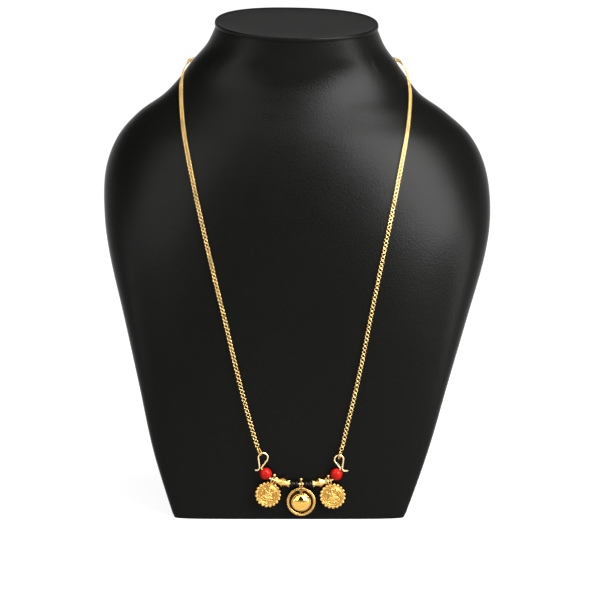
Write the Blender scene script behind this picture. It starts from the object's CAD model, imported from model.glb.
"""Looks of the thali necklace on its neck bust. Sizes are in millimetres, and
every piece is scaled to metres where its mesh is made."""

import math

import bpy
import numpy as np
from mathutils import Euler, Matrix, Vector


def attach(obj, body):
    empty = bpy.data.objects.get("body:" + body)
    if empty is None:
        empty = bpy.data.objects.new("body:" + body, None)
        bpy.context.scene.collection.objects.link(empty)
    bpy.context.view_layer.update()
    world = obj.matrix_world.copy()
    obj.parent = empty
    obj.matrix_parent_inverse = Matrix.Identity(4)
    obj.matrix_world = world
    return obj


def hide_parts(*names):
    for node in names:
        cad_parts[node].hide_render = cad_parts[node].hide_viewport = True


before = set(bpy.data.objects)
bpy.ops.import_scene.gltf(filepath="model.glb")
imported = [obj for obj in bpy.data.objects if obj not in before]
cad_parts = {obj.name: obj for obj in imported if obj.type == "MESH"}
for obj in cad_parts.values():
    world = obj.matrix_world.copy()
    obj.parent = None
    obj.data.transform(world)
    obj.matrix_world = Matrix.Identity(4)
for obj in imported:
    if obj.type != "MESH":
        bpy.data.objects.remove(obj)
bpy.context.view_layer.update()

# A millimetre in metres
MM = 0.001
# Middle of the hanging wire, and its radius
WIRE = (2.6, -68.0, 23.2)
WIRE_R = 0.5
THALI_BODY = "thali_drop"
COIN_BODIES = {-1: "coin_drop_left", 1: "coin_drop_right"}
SIDE_NAMES = {-1: "left", 1: "right"}
# Drop of the thali's middle and of each coin's below the wire, and how far it
# lies behind the wire
THALI_HANG = (11.1, 1.1)
COIN_HANG = (9.75, 0.02)


# Camera

# Place in metres, and tilt in degrees, where 90 would be a level look
CAMERA_AT = (0.0019, -1.664, 0.403)
CAMERA_TILT = 80.505
# Lens and sensor in millimetres, and the nearest and farthest it sees in metres
CAMERA_LENS = 162.2
CAMERA_SENSOR = 36.0
CAMERA_REACH = (0.05, 20.0)


def add_camera():
    data = bpy.data.cameras.new("camera")
    data.sensor_width = CAMERA_SENSOR
    data.lens = CAMERA_LENS
    data.clip_start, data.clip_end = CAMERA_REACH
    camera = bpy.data.objects.new("camera", data)
    camera.location = CAMERA_AT
    camera.rotation_euler = Euler((math.radians(CAMERA_TILT), 0.0, 0.0))
    bpy.context.collection.objects.link(camera)
    bpy.context.scene.camera = camera


add_camera()


# Meshes


def add_piece(name, points, faces, material, smooth, body="stand"):
    """A piece from points in millimetres. smooth is the sharpest angle, in
    degrees, that is still shaded smooth; 0 leaves it faceted."""
    mesh = bpy.data.meshes.new(name)
    points = [tuple(p) for p in np.asarray(points, float) * MM]
    faces = [tuple(int(i) for i in f) for f in faces]
    mesh.from_pydata(points, [], faces)
    mesh.validate()
    mesh.update()
    if smooth:
        mesh.polygons.foreach_set("use_smooth", [True] * len(mesh.polygons))
        if smooth < 180:
            mesh.set_sharp_from_angle(angle=math.radians(smooth))
    mesh.materials.append(material)
    piece = bpy.data.objects.new(name, mesh)
    bpy.context.collection.objects.link(piece)
    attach(piece, body)
    return piece


class Builder:
    """Collects simple shapes into one list of points and faces."""

    def __init__(self):
        self.points = []
        self.faces = []
        self.count = 0

    def add(self, points, faces, matrix):
        m = np.array(matrix)
        self.points.append(points @ m[:3, :3].T + m[:3, 3])
        self.faces += [tuple(int(i) + self.count for i in f) for f in faces]
        self.count += len(points)

    def result(self):
        return np.vstack(self.points), self.faces


def grid_faces(rings, count):
    """Faces between rings of count points that follow one another."""
    faces = []
    for j in range(rings - 1):
        for i in range(count):
            k = (i + 1) % count
            faces.append((j * count + i, j * count + k, (j + 1) * count + k, (j + 1) * count + i))
    return faces


def closing_faces(rings, count):
    """Faces from the last ring back to the first, for a shape closed on itself."""
    last = (rings - 1) * count
    return [(last + i, last + (i + 1) % count, (i + 1) % count, i) for i in range(count)]


def loft(rings, cap=True):
    """Faces over a list of closed rings with the same number of points."""
    points = np.vstack(rings)
    count = len(rings[0])
    faces = grid_faces(len(rings), count)
    if cap:
        last = (len(rings) - 1) * count
        faces.append(tuple(range(count - 1, -1, -1)))
        faces.append(tuple(last + i for i in range(count)))
    return points, faces


def turned_ring(profile, count):
    """Solid of revolution about local X. The profile's rows are (x, radius),
    and it is closed on itself, so that a bore is left."""
    a = 2 * np.pi * np.arange(count) / count
    rings = [np.c_[np.full(count, x), r * np.cos(a), r * np.sin(a)] for x, r in profile]
    return np.vstack(rings), grid_faces(len(rings), count) + closing_faces(len(rings), count)


def turned_out(faces):
    """The same faces seen from their other side."""
    return [f[::-1] for f in faces]


def torus(big, small, count, sides):
    """Ring in the XY plane round local Z."""
    a = 2 * np.pi * np.arange(count) / count
    b = 2 * np.pi * np.arange(sides) / sides
    x = (big + small * np.cos(b))[None, :] * np.cos(a)[:, None]
    y = (big + small * np.cos(b))[None, :] * np.sin(a)[:, None]
    z = np.repeat((small * np.sin(b))[None, :], count, 0)
    points = np.stack([x, y, z], -1).reshape(-1, 3)
    return points, turned_out(grid_faces(count, sides) + closing_faces(count, sides))


def ball(radius, columns, rows, centre, squash=(1, 1, 1)):
    """Round ball with its poles on local Z."""
    t = np.linspace(0, np.pi, rows + 1)[1:-1]
    a = 2 * np.pi * np.arange(columns) / columns
    x = np.sin(t)[:, None] * np.cos(a)[None, :]
    y = np.sin(t)[:, None] * np.sin(a)[None, :]
    z = np.repeat(np.cos(t)[:, None], columns, 1)
    points = np.vstack([np.stack([x, y, z], -1).reshape(-1, 3), [[0, 0, 1], [0, 0, -1]]])
    faces = grid_faces(rows - 1, columns)
    top, bottom = len(points) - 2, len(points) - 1
    last = (rows - 2) * columns
    for i in range(columns):
        k = (i + 1) % columns
        faces.append((top, k, i))
        faces.append((bottom, last + i, last + k))
    return points * radius * np.array(squash) + np.array(centre), turned_out(faces)


def curve_point(a, b, c, d, t):
    """Point between b and c of a smooth curve through a, b, c and d."""
    return 0.5 * (
        2 * b + (c - a) * t + (2 * a - 5 * b + 4 * c - d) * t * t + (3 * b - a - 3 * c + d) * t**3
    )


def smooth_rows(rows, steps):
    """Rows of a smooth curve through all of rows, steps to each one."""
    rows = np.asarray(rows, float)
    last = len(rows) - 1
    made = [
        curve_point(rows[max(0, i - 1)], rows[i], rows[i + 1], rows[min(last, i + 2)], k / steps)
        for i in range(last)
        for k in range(steps)
    ]
    return np.array(made + [rows[-1]])


def unit(v):
    v = np.asarray(v, float)
    return v / np.linalg.norm(v)


# Rounded end of a tube: place along it and radius, as parts of its radius
TUBE_END = ((0.0, 0.4), (0.06, 0.72), (0.2, 0.94))


def swept(points, radius, sides, up):
    """Round tube along points, with rounded ends."""
    p = np.asarray(points, float)
    n = len(p)
    a = 2 * np.pi * np.arange(sides) / sides
    along, rings = [], []
    for i in range(n):
        t = unit(p[min(n - 1, i + 1)] - p[max(0, i - 1)])
        out = unit(np.cross(t, up))
        along.append(t * radius)
        rings.append(radius * (np.cos(a)[:, None] * out + np.sin(a)[:, None] * np.cross(t, out)))
    made = [p[0] + along[0] * at + rings[0] * part for at, part in TUBE_END]
    made += [p[i] + rings[i] for i in range(1, n - 1)]
    made += [p[-1] - along[-1] * at + rings[-1] * part for at, part in TUBE_END[::-1]]
    return loft(made)


# Materials


class Nodes:
    """A short way to write a procedural material."""

    def __init__(self, name):
        self.material = bpy.data.materials.new(name)
        self.material.use_nodes = True
        self.tree = self.material.node_tree
        self.shader = self.tree.nodes["Principled BSDF"]
        self.place = self.tree.nodes.new("ShaderNodeTexCoord").outputs["Object"]

    def node(self, kind, **values):
        made = self.tree.nodes.new(kind)
        for name, value in values.items():
            if name in made.inputs:
                made.inputs[name].default_value = value
            else:
                setattr(made, name, value)
        return made

    def link(self, a, b):
        self.tree.links.new(a, b)

    def noise(self, scale, detail, rough=0.55):
        made = self.node("ShaderNodeTexNoise", Scale=scale, Detail=detail, Roughness=rough)
        self.link(self.place, made.inputs["Vector"])
        return made.outputs["Fac"]

    def cells(self, scale, smoothness):
        made = self.node("ShaderNodeTexVoronoi", feature="SMOOTH_F1", Scale=scale)
        made.inputs["Smoothness"].default_value = smoothness
        self.link(self.place, made.inputs["Vector"])
        return made.outputs["Distance"]

    def colour(self, factor, low, high, start=0.3, end=0.7):
        """Base colour from low to high as factor goes from start to end."""
        made = self.node("ShaderNodeValToRGB")
        for element, at, value in zip(made.color_ramp.elements, (start, end), (low, high)):
            element.position = at
            element.color = (*value, 1.0)
        self.link(factor, made.inputs["Fac"])
        self.link(made.outputs["Color"], self.shader.inputs["Base Color"])

    def roughness(self, factor, low, high):
        self.link(self.spread(factor, low, high), self.shader.inputs["Roughness"])

    def normal(self, bump):
        self.link(bump, self.shader.inputs["Normal"])

    def spread(self, factor, low, high, start=0.0, end=1.0):
        """A value from low to high as factor goes from start to end."""
        made = self.node("ShaderNodeMapRange")
        made.inputs["From Min"].default_value = start
        made.inputs["From Max"].default_value = end
        made.inputs["To Min"].default_value = low
        made.inputs["To Max"].default_value = high
        self.link(factor, made.inputs["Value"])
        return made.outputs["Result"]

    def bump(self, height, strength, distance, below=None):
        made = self.node("ShaderNodeBump", Strength=strength, Distance=distance)
        self.link(height, made.inputs["Height"])
        if below is not None:
            self.link(below, made.inputs["Normal"])
        return made.outputs["Normal"]

    def set(self, **values):
        for name, value in values.items():
            self.shader.inputs[name.replace("_", " ")].default_value = value


def leatherette():
    n = Nodes("leatherette")
    n.set(Specular_IOR_Level=0.05)
    n.colour(n.noise(900, 2), (0.0014, 0.0014, 0.0012), (0.0022, 0.0022, 0.002))
    n.roughness(n.noise(60, 3), 0.26, 0.34)
    pebble = n.bump(n.cells(1100, 0.6), 0.35, 0.0002)
    n.normal(n.bump(n.noise(2600, 2), 0.25, 0.00006, pebble))
    return n.material


def gold(name, low, high, rough_low, rough_high, grain=0.15):
    """A gold between two colours, with its range of roughness and the
    strength of its fine grain."""
    n = Nodes(name)
    n.set(Metallic=1.0)
    n.colour(n.noise(700, 3), low, high)
    n.roughness(n.noise(2200, 2), rough_low, rough_high)
    n.normal(n.bump(n.noise(5200, 3), grain, 0.00003))
    return n.material


def trough_dark():
    n = Nodes("thali_trough")
    n.set(Metallic=0.1, Specular_IOR_Level=0.05)
    n.colour(n.noise(1500, 3), (0.006, 0.002, 0.001), (0.02, 0.007, 0.002), 0.35, 0.75)
    n.roughness(n.noise(2500, 2), 0.4, 0.6)
    return n.material


def coral():
    n = Nodes("coral")
    n.set(Coat_Weight=0.085, Coat_Roughness=0.04, Specular_IOR_Level=0.03)
    n.colour(n.noise(260, 4, 0.6), (0.17, 0.0025, 0.0008), (0.25, 0.0035, 0.0015))
    n.roughness(n.noise(900, 2), 0.16, 0.26)
    return n.material


def black_glass():
    n = Nodes("black_glass")
    n.set(Coat_Weight=0.12, Coat_Roughness=0.05, Specular_IOR_Level=0.03)
    n.colour(n.noise(600, 2), (0.002, 0.002, 0.003), (0.004, 0.0035, 0.0045))
    n.roughness(n.noise(1500, 2), 0.06, 0.12)
    return n.material


LEATHERETTE = leatherette()
GOLD = gold("gold", (0.34, 0.19, 0.05), (0.52, 0.31, 0.085), 0.12, 0.2)
CUT_GOLD = gold("cut_gold", (0.5, 0.3, 0.078), (0.64, 0.395, 0.115), 0.21, 0.27, 0.05)
CHAIN_GOLD = gold("chain_gold", (0.52, 0.33, 0.11), (0.78, 0.52, 0.19), 0.1, 0.18)
SATIN_GOLD = gold("satin_gold", (0.4, 0.225, 0.055), (0.57, 0.34, 0.1), 0.34, 0.46, 0.3)
FIELD_GOLD = gold("field_gold", (0.24, 0.125, 0.025), (0.36, 0.2, 0.045), 0.3, 0.42, 0.3)
DOME_GOLD = gold("dome_gold", (0.52, 0.3, 0.065), (0.64, 0.385, 0.095), 0.06, 0.11, 0.05)
PALE_GOLD = gold("pale_gold", (0.58, 0.43, 0.21), (0.74, 0.57, 0.3), 0.16, 0.26)
TROUGH = trough_dark()
CORAL = coral()
BLACK_GLASS = black_glass()


# Bust

# Sections of the bust from its base up, as in part.scad: height, middle, half
# width, front, depth to the widest place, back, squareness of the front and
# backward tilt in degrees
BUST_ROWS = [
    [0, -4.7, 70.5, -64, 9, 27, 5, 0],
    [40, -3.7, 84, -63.5, 15, 28, 3.6, 0],
    [80, -2.2, 94.5, -62, 22, 30, 3, 0],
    [120, -0.7, 105.5, -59, 31, 33, 2.6, 0],
    [155, 0.3, 115.5, -54.5, 41, 39, 2.4, 0],
    [180, 0.3, 119.5, -49.5, 48, 46, 2.3, 0],
    [205, -0.7, 118.5, -42.5, 54, 54, 2.2, 0],
    [225, -1.7, 110.5, -34.5, 54, 61, 2.1, 0],
    [240, -3.2, 96, -26.5, 49, 65, 2, 0],
    [251, -3.2, 80.5, -20.5, 44, 67, 2, 0],
    [261, -2.2, 71.5, -16.5, 41, 68, 2, 1],
    [271, -1.7, 64, -15.5, 40, 68, 2, 3.5],
    [281.5, -0.7, 55.5, -16.5, 40.5, 67, 2, 6.5],
    [293.4, -0.2, 50, -17, 41, 66, 2, 9.2],
]
BACK_SQUARE = 2.4
NECK_LEAN = math.tan(math.radians(1.2))
NECK_TILT = BUST_ROWS[-1][7]
BUST_SIDES = 192
# Rounded lower edge of the bust: growth of its first section, and height
BASE_EDGE = ((-1.1, 0.0), (-0.5, 0.12), (-0.14, 0.5), (0.0, 1.1))
# The unevenness of the cover fades out over this height at either end
WAVE_FADE = 12
WAVE_TOP = 293


def section(row, grow=0.0, up=0.0):
    """One closed section of the bust, as part.scad makes it."""
    a = 2 * np.pi * np.arange(BUST_SIDES) / BUST_SIDES
    front = np.sin(a) < 0
    middle = row[3] + row[4]
    power = 2 / np.where(front, row[6], BACK_SQUARE)
    depth = np.where(front, row[4], row[5] - middle) + grow
    x = (row[2] + grow) * np.sign(np.cos(a)) * np.abs(np.cos(a)) ** power
    y = depth * np.sign(np.sin(a)) * np.abs(np.sin(a)) ** power
    z = row[0] + up + y * math.tan(math.radians(row[7])) - x * NECK_LEAN * row[7] / NECK_TILT
    return np.c_[row[1] + x, middle + y, z]


def cover_wave(x, y, z):
    """The cover is pulled over by hand, so it is never quite even."""
    wave = 0.16 * np.sin(x * 0.071 + 1.3) * np.sin(z * 0.053 + y * 0.04)
    wave += 0.07 * np.sin(x * 0.19 - z * 0.13)
    fade = np.clip(z / WAVE_FADE, 0, 1) * np.clip((WAVE_TOP - z) / WAVE_FADE, 0, 1)
    return np.where(y < 0, -1, 1) * 0.5 * wave * fade


def add_bust():
    rows = smooth_rows(BUST_ROWS, 8)
    rings = [section(rows[0], grow=grow, up=up) for grow, up in BASE_EDGE]
    rings += [section(row) for row in rows[1:]]
    points, faces = loft(rings)
    points[:, 1] += cover_wave(*points.T)
    bust = add_piece("bust_body_skin", points, faces, LEATHERETTE, smooth=50)
    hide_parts("bust_body")


# The cap's lip stands this far past the neck, and the cap is this thick
CAP_LIP = 1.0
CAP_T = 2.4
# Outline of the cap from below: growth past the neck, and height over it
CAP_OUTLINE = [
    (-1.2, 0.1), (CAP_LIP - 0.45, 0.1), (CAP_LIP - 0.15, 0.2), (CAP_LIP, 0.55),
    (CAP_LIP, CAP_T - 0.7), (CAP_LIP - 0.12, CAP_T - 0.3), (CAP_LIP - 0.42, CAP_T - 0.06),
    (CAP_LIP - 0.9, CAP_T), (CAP_LIP - 1.9, CAP_T - 0.22), (CAP_LIP - 3.0, CAP_T - 0.26),
    (-20.0, CAP_T - 0.26),
]


def add_cap():
    points, faces = loft([section(BUST_ROWS[-1], grow=grow, up=up) for grow, up in CAP_OUTLINE])
    cap = add_piece("neck_cap_cover", points, faces, LEATHERETTE, smooth=50)
    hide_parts("neck_cap")


# Chain

# Middle line of the chain from its left end, up and round the neck
CHAIN_ROUTE = [
    [-23.8, -67.9, 46.1], [-27.4, -66.6, 58], [-31.8, -65, 74], [-37.9, -62.2, 98.5],
    [-43.5, -59.4, 122.5], [-49.3, -55.6, 146], [-55, -50.4, 169.5], [-60.5, -43.2, 193],
    [-64.4, -36, 210.5], [-66.9, -29.4, 222], [-69.2, -21.3, 233.5], [-70.6, -11.3, 244.5],
    [-71.4, -1, 252.5], [-71.5, 8, 260], [-70.6, 16, 266], [-69, 24.5, 270], [-67.2, 35.1, 271.5],
    [-62, 48.9, 271.5], [-45.2, 62.8, 270.5], [-22.6, 68.6, 269], [-1.2, 69.8, 268.5],
    [20.2, 68.5, 269], [41.7, 62.7, 270.5], [58.1, 48.8, 271.5], [63.1, 35, 271.5],
    [65.4, 25, 270.5], [67.6, 17.5, 267], [69.2, 10.5, 261], [70, 1.5, 253.5], [69.3, -9, 244.5],
    [67.7, -20, 233.5], [65.3, -29.3, 222], [62.8, -36, 210.5], [59.1, -43.4, 193],
    [54.1, -50.6, 169.5], [49.1, -55.8, 146], [44.3, -59.4, 122.5], [39.6, -62.2, 98.5],
    [34.2, -65, 74], [30.2, -66.8, 58], [27.3, -67.9, 44.2],
]
# Round links that lie flat, and the small upright ones that join them
LINK_L = 2.38
LINK_W = 2.6
LINK_WIRE = 0.44
LINK_PITCH = 2.4
JOINER_L = 1.14
JOINER_W = 1.0
JOINER_WIRE = 0.24
# The links stray from their set turn by up to this many degrees
LINK_STRAY = 9
# Over the shoulders the links turn from the front of the bust to its top: more
# and more between these heights, and less and less between these depths
SHOULDER_Z = (205, 250)
SHOULDER_Y = (5, 35)
# Long link at each end: its middle in X and Z, its lean and its turn in degrees
END_LINKS = {-1: (-22.5, 43.25, 24.5, 62), 1: (26.15, 41.05, -9, 62)}
END_LINK_L = 5.9
END_LINK_W = 3.3
END_LINK_WIRE = 0.8
# The chain's line starts this far short of the end link's top
FIRST_LINK_DROP = 0.155


def end_link_top(side):
    x, z, lean, _ = END_LINKS[side]
    a = math.radians(lean)
    reach = END_LINK_L / 2 - FIRST_LINK_DROP
    return np.array([x - math.sin(a) * reach, WIRE[1], z + math.cos(a) * reach])


def chain_line():
    """The chain's middle line, with its length at each point."""
    line = smooth_rows(CHAIN_ROUTE, 12)[3:-3]
    line = np.vstack([end_link_top(-1), line, end_link_top(1)])
    length = np.r_[0, np.cumsum(np.linalg.norm(np.diff(line, axis=0), axis=1))]
    return line, length


def outward(point):
    """Direction straight out of the bust near a point of the chain."""
    x, y, z = point
    row = smooth_rows(BUST_ROWS, 4)
    row = row[np.abs(row[:, 0] - z).argmin()]
    middle = row[3] + row[4]
    depth = row[4] if y < middle else row[5] - middle
    n = np.array([(x - row[1]) / row[2] ** 2, (y - middle) / depth**2, 0.0])
    low, high = SHOULDER_Z
    front, back = SHOULDER_Y
    over = np.clip((z - low) / (high - low), 0, 1) * np.clip((back - y) / (back - front), 0, 1)
    return unit(unit(n) + np.array([0, -0.3, 0.7 * over]))


def oval_link(length, width, wire, count, sides):
    """Link round local Z, its length along X."""
    points, faces = torus((width - wire) / 2, wire / 2, count, sides)
    points[:, 0] += np.clip(points[:, 0] / wire, -1, 1) * (length - width) / 2
    return points, np.array(faces)


def add_chain():
    line, length = chain_line()
    total = length[-1]
    at = np.linspace(0, total, 2 * int(round(total / LINK_PITCH)) + 1)
    centre = np.stack([np.interp(at, length, line[:, k]) for k in range(3)], -1)
    flat = oval_link(LINK_L, LINK_W, LINK_WIRE, 24, 8)
    joiner = oval_link(JOINER_L, JOINER_W, JOINER_WIRE, 12, 6)
    made_points, made_faces, used = [], [], 0
    for i in range(len(at)):
        (base, faces), upright = (joiner, 90) if i % 2 == 0 else (flat, 0)
        t = unit(centre[min(len(at) - 1, i + 1)] - centre[max(0, i - 1)])
        n = outward(centre[i])
        n = unit(n - t * (n @ t))
        stray = LINK_STRAY * math.sin(0.61 * i) * math.cos(0.23 * i + 1)
        a = math.radians(stray + upright)
        across = math.cos(a) * np.cross(t, n) + math.sin(a) * n
        made_points.append(base @ np.stack([t, across, np.cross(t, across)]) + centre[i])
        made_faces.append(faces + used)
        used += len(base)
    points, faces = np.vstack(made_points), np.vstack(made_faces)
    chain = add_piece("chain_links", points, faces, CHAIN_GOLD, smooth=180)
    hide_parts("chain")


def add_end_link(side):
    x, z, lean, turn = END_LINKS[side]
    bow = (END_LINK_W - END_LINK_WIRE) / 2
    run = (END_LINK_L - END_LINK_W) / 2
    sides = 14
    b = 2 * np.pi * np.arange(sides) / sides
    rings = []
    for a in np.radians(np.arange(0, 360, 9)):
        out = np.array([math.cos(a), 0, math.sin(a)])
        middle = bow * out + np.array([0, 0, run if out[2] >= 0 else -run])
        ring = np.cos(b)[:, None] * out + np.sin(b)[:, None] * np.array([0, 1, 0])
        rings.append(middle + END_LINK_WIRE / 2 * ring)
    points, faces = loft(rings, cap=False)
    faces += closing_faces(len(rings), sides)
    made = Builder()
    made.add(
        points,
        faces,
        Matrix.Translation((x, WIRE[1], z))
        @ Matrix.Rotation(math.radians(-lean), 4, "Y")
        @ Matrix.Rotation(math.radians(turn), 4, "Z"),
    )
    name = SIDE_NAMES[side]
    link = add_piece(f"end_link_{name}_ring", *made.result(), GOLD, smooth=180)
    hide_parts(f"end_link_{name}")


# Wire

# Halves of the wire from its middle outward: straight length, bend in degrees
# and its radius, as in part.scad
HALVES = {
    -1: [
        (6.65, 14, 1.2), (9, 4, 1.5), (2.7, 32, 1.5), (7.26, 75, 0.9),
        (5.4, -222, 2.85), (5.5, 97, 1.8), (1, 0, 1),
    ],
    1: [
        (6.65, 11, 1.2), (9, 1, 1.5), (2.7, 43, 1.5), (7.26, 72, 0.9),
        (4.4, -226, 2.7), (4.6, 105, 1.8), (1.6, 0, 1),
    ],
}
# Rows that carry the gold bead, the coin's bail and the coral bead, and the
# places of the black beads on the first row
GOLD_ROW, BAIL_ROW, CORAL_ROW = 1, 2, 3
BLACK_AT = (5.42, 2.87)
# Points closer than this on the wire's line count as one
SAME_POINT = 0.02


def bend_step(row, a, part=1.0):
    """Way along a part of a row's bend, which starts in direction a."""
    _, degrees, radius = row
    b = a + math.radians(degrees) * part
    s = math.copysign(radius, degrees) if degrees else 0.0
    return s * np.array([math.sin(b) - math.sin(a), math.cos(a) - math.cos(b)])


def straight_step(row, a):
    return row[0] * np.array([math.cos(a), math.sin(a)])


def start_of(side, n):
    """Place and direction at the start of a row of the wire."""
    at, a = np.zeros(2), 0.0
    for row in HALVES[side][:n]:
        at = at + straight_step(row, a) + bend_step(row, a)
        a += math.radians(row[1])
    return at, a


def on_wire(side, n, along):
    """Matrix of a place on the wire: X runs outward along it and Z is up."""
    at, a = start_of(side, n)
    at = at + along * np.array([math.cos(a), math.sin(a)])
    return (
        Matrix.Translation((WIRE[0] + side * at[0], WIRE[1], WIRE[2] + at[1]))
        @ Matrix.Rotation(-side * a, 4, "Y")
        @ Matrix.Diagonal((side, 1, 1, 1))
    )


def half_path(side):
    """Points of one half of the wire, from its middle outward."""
    path = [np.zeros(2)]
    for n, row in enumerate(HALVES[side]):
        at, a = start_of(side, n)
        corner = at + straight_step(row, a)
        steps = max(1, math.ceil(abs(row[1]) / 5))
        path += [corner + bend_step(row, a, k / steps) for k in range(steps + 1)]
    kept = [path[0]]
    for p in path[1:]:
        if np.linalg.norm(p - kept[-1]) > SAME_POINT:
            kept.append(p)
    return [np.array([WIRE[0] + side * p[0], WIRE[1], WIRE[2] + p[1]]) for p in kept]


def add_wire():
    route = half_path(-1)[:0:-1] + half_path(1)
    points, faces = swept(route, WIRE_R, 16, np.array([0, 1.0, 0]))
    wire = add_piece("hanging_wire_bent", points, faces, PALE_GOLD, smooth=50)
    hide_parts("hanging_wire")


# Beads

BORE_R = 0.55
CORAL_R = 3.6
BLACK_R = 1.5
BLACK_L = 2.45
# Gold bead: half its length, radius at its middle and of its crowns' tips,
# radius between those tips as a part of it, and number of points round it
GOLD_HALF = 4.4
GOLD_R = 3.0
CROWN_R = 2.05
CROWN_ROOT = 0.66
GOLD_SIDES = 16


def faced_out(faces, matrix):
    """Faces that still face outward where the matrix mirrors them."""
    return turned_out(faces) if matrix.to_3x3().determinant() < 0 else faces


def bead_piece(name, points, faces, matrix, material, slot, node, smooth=60.0):
    made = Builder()
    made.add(points, faces, matrix)
    points, faces = made.result()
    piece = add_piece(name, points, faced_out(faces, matrix), material, smooth=smooth)
    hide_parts(node)


def add_coral(side):
    reach = math.sqrt(CORAL_R**2 - (BORE_R + 0.14) ** 2)
    edge = math.acos(reach / CORAL_R)
    t = np.linspace(edge, math.pi - edge, 40)
    profile = [(-CORAL_R * math.cos(v), CORAL_R * math.sin(v)) for v in t]
    profile += [(reach - 0.1, BORE_R), (-reach + 0.1, BORE_R)]
    points, faces = turned_ring(profile, 64)
    # cut by hand, so not quite round
    x, y, z = points.T
    body = np.hypot(y, z) > 1.0
    wobble = 1 + 0.006 * np.sin(x * 1.9 + side) * np.cos(y * 1.4 + 0.6 * side)
    wobble += 0.004 * np.sin(z * 2.3 - x)
    points[body] *= np.minimum(wobble, 1.004)[body, None]
    name = SIDE_NAMES[side]
    place = on_wire(side, CORAL_ROW, HALVES[side][CORAL_ROW][0] / 2)
    bead_piece(f"coral_{name}", points, faces, place, CORAL, "coral", f"coral_bead_{name}")


def add_black_beads():
    edge = BLACK_L / 2
    t = np.radians(np.linspace(-90, 90, 17))
    rounded = [(edge * math.sin(v), BLACK_R - edge + edge * math.cos(v)) for v in t]
    profile = [(-edge + 0.12, BORE_R), (-edge, BORE_R + 0.06)]
    profile += [p for p in rounded if p[1] > BORE_R + 0.07]
    profile += [(edge, BORE_R + 0.06), (edge - 0.12, BORE_R)]
    points, faces = turned_ring(profile, 40)
    places = [(-1, BLACK_AT[0]), (-1, BLACK_AT[1]), (1, BLACK_AT[1]), (1, BLACK_AT[0])]
    for number, (side, along) in enumerate(places, 1):
        node = f"black_bead_{number}"
        place = on_wire(side, 0, along)
        bead_piece(f"{node}_glass", points, faces, place, BLACK_GLASS, "black_bead", node)


def bead_ring(x, radius, low, first=0):
    """Ring of a gold bead whose every second point, from first, is a tip."""
    i = np.arange(GOLD_SIDES)
    a = 2 * np.pi * i / GOLD_SIDES
    r = radius * np.where(i % 2 == first, 1.0, low)
    return np.c_[np.full(GOLD_SIDES, x), r * np.cos(a), r * np.sin(a)]


def gold_bead_mesh():
    """Faceted body between two star crowns, closed round a bore."""
    flat = math.cos(2 * np.pi / GOLD_SIDES)
    outline = [
        (GOLD_HALF - 0.25, BORE_R, 1.0), (GOLD_HALF - 0.1, 0.95, 1.0),
        (GOLD_HALF, CROWN_R, CROWN_ROOT), (GOLD_HALF * 0.9, CROWN_R * 0.97, CROWN_ROOT),
        (GOLD_HALF * 0.66, 1.45, flat), (GOLD_HALF * 0.56, 1.67, flat),
    ]
    middle = len(outline)
    rings = [bead_ring(-x, r, low) for x, r, low in outline]
    rings.append(bead_ring(0, GOLD_R, flat, first=1))
    rings += [bead_ring(x, r, low) for x, r, low in outline[::-1]]
    faces = []
    # each facet is split so that its ridge runs from a tip
    for n, (a, b, c, d) in enumerate(grid_faces(len(rings), GOLD_SIDES)):
        if (n % 2 == 0) == (n // GOLD_SIDES < middle):
            faces += [(a, b, c), (a, c, d)]
        else:
            faces += [(a, b, d), (b, c, d)]
    return np.vstack(rings), faces + closing_faces(len(rings), GOLD_SIDES)


def add_gold_bead(side):
    name = SIDE_NAMES[side]
    place = on_wire(side, GOLD_ROW, HALVES[side][GOLD_ROW][0] / 2)
    node = f"gold_bead_{name}"
    bead_piece(f"{node}_cut", *gold_bead_mesh(), place, CUT_GOLD, "gold", node, smooth=0)


# Bails

RING_D, RING_WIRE, RING_GAP = 3.8, 0.8, 1.6
# The rings hang clear of the wire by this gap
HANG_GAP = 0.06
RING_DROP = RING_D / 2 - RING_WIRE - WIRE_R - HANG_GAP
BALL_D = 1.8
STEM_L = 0.9
PIN_R = 0.3


def pin(start, end, sides=12):
    """Thin round bar along local X."""
    a = 2 * np.pi * np.arange(sides) / sides
    y, z = PIN_R * np.cos(a), PIN_R * np.sin(a)
    return loft([np.c_[np.full(sides, x), y, z] for x in (start, end)])


def add_bail(made, base):
    """Two rings round the wire with a granule ball over them."""
    ring_r = (RING_D - RING_WIRE) / 2
    top = ring_r - RING_DROP
    across = Matrix.Rotation(math.radians(90), 4, "Y")
    up = Matrix.Rotation(math.radians(-90), 4, "Y")
    for s in (-1, 1):
        place = base @ Matrix.Translation((s * RING_GAP / 2, 0, -RING_DROP)) @ across
        made.add(*torus(ring_r, RING_WIRE / 2, 40, 16), place)
    for z in (top, top - 2 * ring_r):
        made.add(*pin(-RING_GAP / 2, RING_GAP / 2), base @ Matrix.Translation((0, 0, z)))
    made.add(*pin(0, 1.4), base @ Matrix.Translation((0, 0, top)) @ up)
    made.add(*ball(BALL_D / 2, 28, 18, centre=(0, 0, top + BALL_D / 2 + STEM_L)), base)


def face_frame(base, hang):
    """Local frame of a hanging disc: X to the right, Y up and Z forward."""
    drop, back = hang
    return base @ Matrix.Translation((0, back, -drop)) @ Matrix.Rotation(math.radians(90), 4, "X")


# Thali

THALI_R = 8.95
# Dome: half width, half height and rise, how far its middle lies under the
# disc's, and the height of its foot
DOME = (5.8, 5.4, 2.9)
DOME_DOWN = 0.45
DOME_FOOT = 1.1
DOME_SIDES = 96
# Raised lip round the dome: part of its foot's size, and height
DOME_LIP = [(1.02, 0.52), (1.02, 0.98), (1.0, 1.12), (0.96, 1.17), (0.925, 1.13)]
KNOB_R = 0.42
TROUGH_R = 7.22
NOTCHES = 54
# The notches start at this radius, and reach this depth over this run
MILL_R = 7.9
MILL_DEPTH = 0.34
MILL_RUN = 0.6
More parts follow.
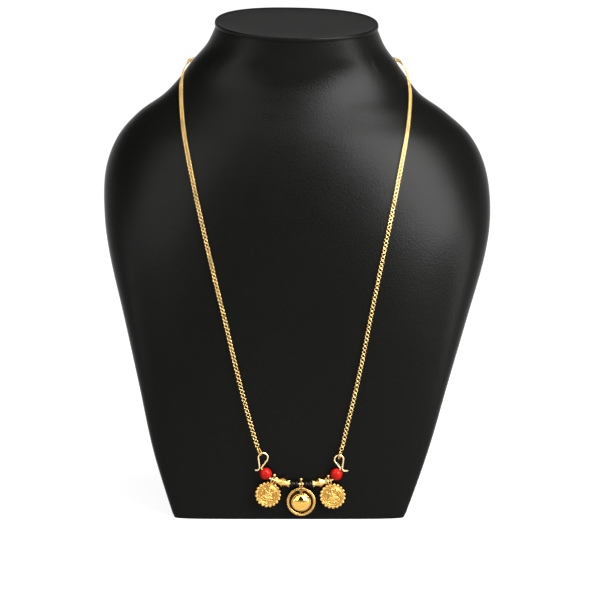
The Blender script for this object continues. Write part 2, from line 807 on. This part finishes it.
# Rim from the middle of its back round to the trough: radius, height
RIM_ROWS = [
    (0.5, 0.0), (8.2, 0.0), (8.62, 0.12), (8.86, 0.36), (THALI_R, 0.68), (8.88, 0.98),
    (8.62, 1.2), (8.36, 1.26), (8.2, 1.16), (8.1, 1.18), (7.75, 1.3), (7.5, 1.28), (7.3, 1.18),
    (TROUGH_R, 1.02), (TROUGH_R, 0.5),
]
# Strap from the rim down on to the dome: its Y, half width, height of its top
STRAP_ROWS = [
    (7.9, 2.9, 1.34), (7.4, 2.3, 1.5), (6.9, 1.5, 1.62), (6.4, 1.0, 1.76), (5.6, 0.85, 1.92),
    (4.9, 0.8, 2.05), (4.2, 0.7, 2.2), (3.5, 0.45, 2.36), (3.0, 0.12, 2.4),
]
STRAP_LOW = 0.4
# Section of the strap: places across it, and their part of its crown
STRAP_ACROSS = np.array([-1, -0.8, -0.4, 0, 0.4, 0.8, 1])
STRAP_CROWN = np.array([0, 0.75, 0.95, 1, 0.95, 0.75, 0])


def disc_rings(rows, count, wave=None):
    """Closed rings about local Z: each row is (radius, height)."""
    a = 2 * np.pi * np.arange(count) / count
    rings = []
    for r, z in rows:
        radius = np.full(count, r) if wave is None else r + wave(r, z, a)
        rings.append(np.c_[radius * np.cos(a), radius * np.sin(a), np.full(count, z)])
    return rings


def milling(r, z, angle):
    """How far the notches move a point of the rim inward."""
    depth = np.clip((r - MILL_R) / MILL_RUN, 0, 1) * MILL_DEPTH
    return -depth * (0.5 - 0.5 * np.cos(NOTCHES * angle + 2.4 * z)) ** 0.7


def add_thali_rim(base):
    place = face_frame(base, THALI_HANG)
    made = Builder()
    made.add(*loft(disc_rings(RIM_ROWS, NOTCHES * 8, milling)), place)
    add_bail(made, base)
    add_strap(made, place)
    rim = add_piece("thali_rim", *made.result(), GOLD, body=THALI_BODY, smooth=50)
    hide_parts("thali")


def add_strap(made, place):
    """Y-shaped tongue from the rim down on to the dome."""
    flat = np.ones(len(STRAP_ACROSS))
    rings = []
    for y, w, top in STRAP_ROWS:
        upper = STRAP_LOW + (top - STRAP_LOW) * (0.6 + 0.4 * STRAP_CROWN)
        rings.append(np.vstack([
            np.c_[STRAP_ACROSS * w, flat * y, upper],
            np.c_[STRAP_ACROSS[::-1] * w, flat * y, flat * STRAP_LOW],
        ]))
    points, faces = loft(rings)
    made.add(points, turned_out(faces), place)


def dome_height(part):
    """Height of the ball-shaped dome at a part of its foot's radius."""
    foot = (DOME[0] + DOME[1]) / 2
    ball_r = (foot**2 + DOME[2] ** 2) / (2 * DOME[2])
    return math.sqrt(ball_r**2 - (part * foot) ** 2) - (ball_r - DOME[2])


def dome_ring(part, z):
    a = 2 * np.pi * np.arange(DOME_SIDES) / DOME_SIDES
    x, y = DOME[0] * part * np.cos(a), DOME[1] * part * np.sin(a) - DOME_DOWN
    return np.c_[x, y, np.full(DOME_SIDES, z)]


def add_thali_dome(base):
    place = face_frame(base, THALI_HANG)
    rings = [dome_ring(part, z) for part, z in DOME_LIP]
    rings += [dome_ring(t, DOME_FOOT + dome_height(t)) for t in np.linspace(0.92, 0.0, 30)[:-1]]
    top = (0, -DOME_DOWN, DOME_FOOT + dome_height(0) + 0.06)
    made = Builder()
    made.add(*loft(rings), place)
    made.add(*ball(KNOB_R, 20, 12, centre=top, squash=(1, 1, 1.1)), place)
    dome = add_piece("thali_dome", *made.result(), DOME_GOLD, body=THALI_BODY, smooth=60)


def add_thali_trough(base):
    edge = TROUGH_R + 0.03
    rings = disc_rings([(edge, 0.45), (edge, 0.56), (6.4, 0.54), (4.6, 0.54)], 96)
    made = Builder()
    made.add(*loft(rings), face_frame(base, THALI_HANG))
    floor = add_piece("thali_trough_floor", *made.result(), TROUGH, body=THALI_BODY, smooth=50)


# Coins

COIN_R = 8.0
COIN_T = 1.0
GRANULES = 19
GRANULE_R = 0.95
# Circle that the granules' middles lie on
GRANULE_RING = COIN_R - GRANULE_R
FACE_R = 6.15
# Ground lower than this over the face has the duller gold
FIELD_H = 0.13
# Body of the coin behind its face: radius, height over its middle plane
COIN_ROWS = [
    (0.3, -0.5), (6.7, -0.5), (GRANULE_RING, -0.4), (GRANULE_RING + 0.1, 0),
    (GRANULE_RING, 0.42), (6.6, 0.52), (6.2, 0.45), (5.9, 0.3),
]


def blob(x, y, at, radius, height, stretch=(1, 1), turn=0.0):
    """Low round swelling of the relief."""
    dx, dy = x - at[0], y - at[1]
    c, s = math.cos(math.radians(turn)), math.sin(math.radians(turn))
    u = (dx * c + dy * s) / (radius * stretch[0])
    v = (-dx * s + dy * c) / (radius * stretch[1])
    return height * np.sqrt(np.clip(1 - u * u - v * v, 0, 1))


def limb(x, y, a, b, radius, height):
    """Low rounded bar from a to b."""
    ax, ay = a
    dx, dy = b[0] - ax, b[1] - ay
    t = np.clip(((x - ax) * dx + (y - ay) * dy) / (dx * dx + dy * dy), 0, 1)
    d = np.hypot(x - ax - t * dx, y - ay - t * dy) / radius
    return height * np.sqrt(np.clip(1 - d * d, 0, 1))


def figure_height(x, y):
    """A generic seated figure on a lotus, inside a ring, as raised relief."""
    r = np.hypot(x, y)
    parts = [
        limb(x, y, (-0.02, 0.9), (0.02, -0.7), 1.15, 0.5),
        blob(x, y, (0, 0.75), 1.25, 0.5, (1.05, 0.8)),
        blob(x, y, (0, 2.55), 0.85, 0.58, (0.9, 1.1)),
        blob(x, y, (0, 3.75), 0.62, 0.5, (1.0, 1.3)),
        blob(x, y, (0, 4.55), 0.25, 0.45),
        limb(x, y, (-2.75, -1.75), (0.5, -2.1), 0.62, 0.5),
        limb(x, y, (2.75, -1.75), (-0.5, -2.1), 0.62, 0.5),
        limb(x, y, (-0.8, -0.9), (-2.7, -1.6), 0.6, 0.46),
        limb(x, y, (0.8, -0.9), (2.7, -1.6), 0.6, 0.46),
        limb(x, y, (0.6, 1.2), (2.0, 0.25), 0.34, 0.44),
        limb(x, y, (2.0, 0.25), (1.3, -0.9), 0.3, 0.4),
        limb(x, y, (-0.6, 1.2), (-2.0, 0.25), 0.34, 0.44),
        limb(x, y, (-2.0, 0.25), (-1.3, -0.9), 0.3, 0.4),
        limb(x, y, (0.7, 1.4), (2.5, 2.0), 0.3, 0.4),
        limb(x, y, (-0.7, 1.4), (-2.5, 2.0), 0.3, 0.4),
        blob(x, y, (3.05, 2.65), 0.62, 0.42, (0.85, 1.2), 20),
        blob(x, y, (-3.05, 2.65), 0.62, 0.42, (0.85, 1.2), -20),
    ]
    halo = 0.28 * np.exp(-(((np.hypot(x, y - 2.9) - 1.75) / 0.16) ** 2)) * (y > 1.6)
    parts.append(halo)
    # petals of the lotus, and the dots to both sides of the figure
    for k in range(-4, 5):
        lean = k * 7.0
        parts.append(blob(x, y, (k * 0.84, -3.35 + 0.028 * k * k), 0.46, 0.42, (0.85, 1.25), -lean))
        if k % 2 == 0:
            parts.append(blob(x, y, (k * 0.8, -4.3 + 0.06 * k * k), 0.42, 0.36, (0.95, 1.0), -lean))
    for s in (-1, 1):
        for k in range(4):
            at = (s * (4.25 + 0.18 * k - 0.16 * k * k), -0.9 + 1.05 * k)
            parts.append(blob(x, y, at, 0.3, 0.3))
    ring = 0.34 * np.exp(-(((r - 5.55) / 0.2) ** 2)) + 0.22 * np.exp(-(((r - 5.05) / 0.12) ** 2))
    parts.append(ring)
    relief = np.max(np.stack(parts), axis=0)
    tool = 0.03 * np.sin(5.1 * x + 2.2 * y) * np.sin(4.3 * y - 1.7 * x)
    tool += 0.02 * np.sin(9.7 * x) * np.sin(8.9 * y)
    return relief + tool * np.clip((5.4 - r) / 0.5, 0, 1)


def coin_face():
    """The coin's front, raised by the relief, as a closed plate."""
    count = 176
    a = 2 * np.pi * np.arange(count) / count
    rings = []
    for r in np.r_[FACE_R + 0.05, np.linspace(FACE_R - 0.15, 0.06, 74)]:
        x, y = r * np.cos(a), r * np.sin(a)
        height = figure_height(x, y) if r < FACE_R else np.full(count, -0.2)
        rings.append(np.c_[x, y, COIN_T / 2 + height])
    return loft(rings)


def darken_field(mesh, place):
    """Gives the low ground between the raised shapes its duller gold."""
    local = place.inverted()
    for face in mesh.polygons:
        x, y, z = local @ (face.center / MM)
        if math.hypot(x, y) < FACE_R and COIN_T / 2 - 0.1 < z < COIN_T / 2 + FIELD_H:
            face.material_index = 1


def granule():
    """Round granule with the small dimple that the dapping punch leaves."""
    rows = []
    for v in np.linspace(np.pi, 0, 19)[1:-1]:
        r, z = GRANULE_R * math.sin(v), GRANULE_R * math.cos(v)
        dip = 0.42 * math.exp(-((r / 0.3) ** 2)) if z > 0 else 0.0
        rows.append((r, z - dip))
    return loft(disc_rings(rows, 20))


def add_coin(side):
    base = on_wire(side, BAIL_ROW, HALVES[side][BAIL_ROW][0] / 2)
    place = face_frame(base, COIN_HANG)
    made = Builder()
    add_bail(made, base)
    made.add(*loft(disc_rings(COIN_ROWS, 96)), place)
    made.add(*coin_face(), place)
    one = granule()
    for i in range(GRANULES):
        turn = Matrix.Rotation(2 * math.pi * i / GRANULES, 4, "Z")
        made.add(*one, place @ turn @ Matrix.Translation((0, GRANULE_RING, 0)))
    points, faces = made.result()
    faces = faced_out(faces, base)
    node = f"coin_{SIDE_NAMES[side]}"
    coin = add_piece(f"{node}_relief", points, faces, SATIN_GOLD, body=COIN_BODIES[side], smooth=55)
    coin.data.materials.append(FIELD_GOLD)
    darken_field(coin.data, place)
    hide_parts(node)


# Stage

# Half width of the floor in metres
FLOOR = 40.0
# Glow of the table near the bust and far off, and the distances in metres
# between which it goes from one to the other
TABLE_GLOW = 0.82
FAR_GLOW = 1.05
GLOW_RUN = (0.8, 3.0)
# Grey of the room at the horizon and above, and where one fades to the other
HORIZON = 0.85
ROOM = 0.04
ROOM_FADE = (0.16, 0.42)
# Soft boxes: name, place and target in metres, width, height, and watts
CHEST = (0, -0.05, 0.15)
SOFT_BOXES = [
    ("box_left", (-0.81, -0.78, 0.86), CHEST, 0.8, 1.0, 13),
    ("box_right", (0.74, -0.74, 0.96), CHEST, 0.85, 1.15, 84),
    ("side_right", (1.2, -0.45, 0.25), CHEST, 0.4, 0.6, 8),
    ("side_left", (-1.2, -0.45, 0.25), CHEST, 0.4, 0.6, 2),
    ("top", (0.0, -0.3, 1.7), (0, -0.1, 0), 1.2, 1.0, 22),
]


def add_floor():
    """A lit white table, flat and far larger than any view of the part."""
    n = Nodes("floor")
    n.set(Roughness=0.9, Emission_Color=(1, 1, 1, 1))
    away = n.node("ShaderNodeVectorMath", operation="LENGTH")
    n.link(n.place, away.inputs[0])
    glow = n.spread(away.outputs["Value"], TABLE_GLOW, FAR_GLOW, *GLOW_RUN)
    n.link(glow, n.shader.inputs["Emission Strength"])
    n.colour(n.noise(3, 2), (0.19, 0.19, 0.19), (0.21, 0.21, 0.21))
    points = [(x * FLOOR, y * FLOOR, 0) for x, y in ((-1, -1), (1, -1), (1, 1), (-1, 1))]
    mesh = bpy.data.meshes.new("floor")
    mesh.from_pydata(points, [], [(0, 1, 2, 3)])
    mesh.materials.append(n.material)
    floor = bpy.data.objects.new("floor", mesh)
    bpy.context.collection.objects.link(floor)


def add_light(name, place, target, width, height, power):
    data = bpy.data.lights.new(name, "AREA")
    data.shape = "RECTANGLE"
    data.size, data.size_y = width, height
    data.energy = power
    light = bpy.data.objects.new(name, data)
    light.location = place
    light.rotation_euler = (Vector(target) - Vector(place)).to_track_quat("-Z", "Y").to_euler()
    bpy.context.collection.objects.link(light)


def add_world():
    """A dark room with a pale band along the horizon."""
    world = bpy.data.worlds.new("studio")
    bpy.context.scene.world = world
    world.use_nodes = True
    tree = world.node_tree
    place = tree.nodes.new("ShaderNodeTexCoord").outputs["Generated"]
    split = tree.nodes.new("ShaderNodeSeparateXYZ")
    ramp = tree.nodes.new("ShaderNodeValToRGB")
    tree.links.new(place, split.inputs["Vector"])
    tree.links.new(split.outputs["Z"], ramp.inputs["Fac"])
    for element, at, grey in zip(ramp.color_ramp.elements, ROOM_FADE, (HORIZON, ROOM)):
        element.position = at
        element.color = (grey, grey, grey, 1)
    tree.links.new(ramp.outputs["Color"], tree.nodes["Background"].inputs["Color"])


def add_studio():
    add_world()
    for box in SOFT_BOXES:
        add_light(*box)
    bpy.context.scene.view_settings.view_transform = "Standard"


add_bust()
add_cap()
add_chain()
add_wire()
for one_side in (-1, 1):
    add_end_link(one_side)
    add_coral(one_side)
    add_gold_bead(one_side)
    add_coin(one_side)
add_black_beads()
thali_base = Matrix.Translation(WIRE)
add_thali_rim(thali_base)
add_thali_dome(thali_base)
add_thali_trough(thali_base)
add_floor()
add_studio()
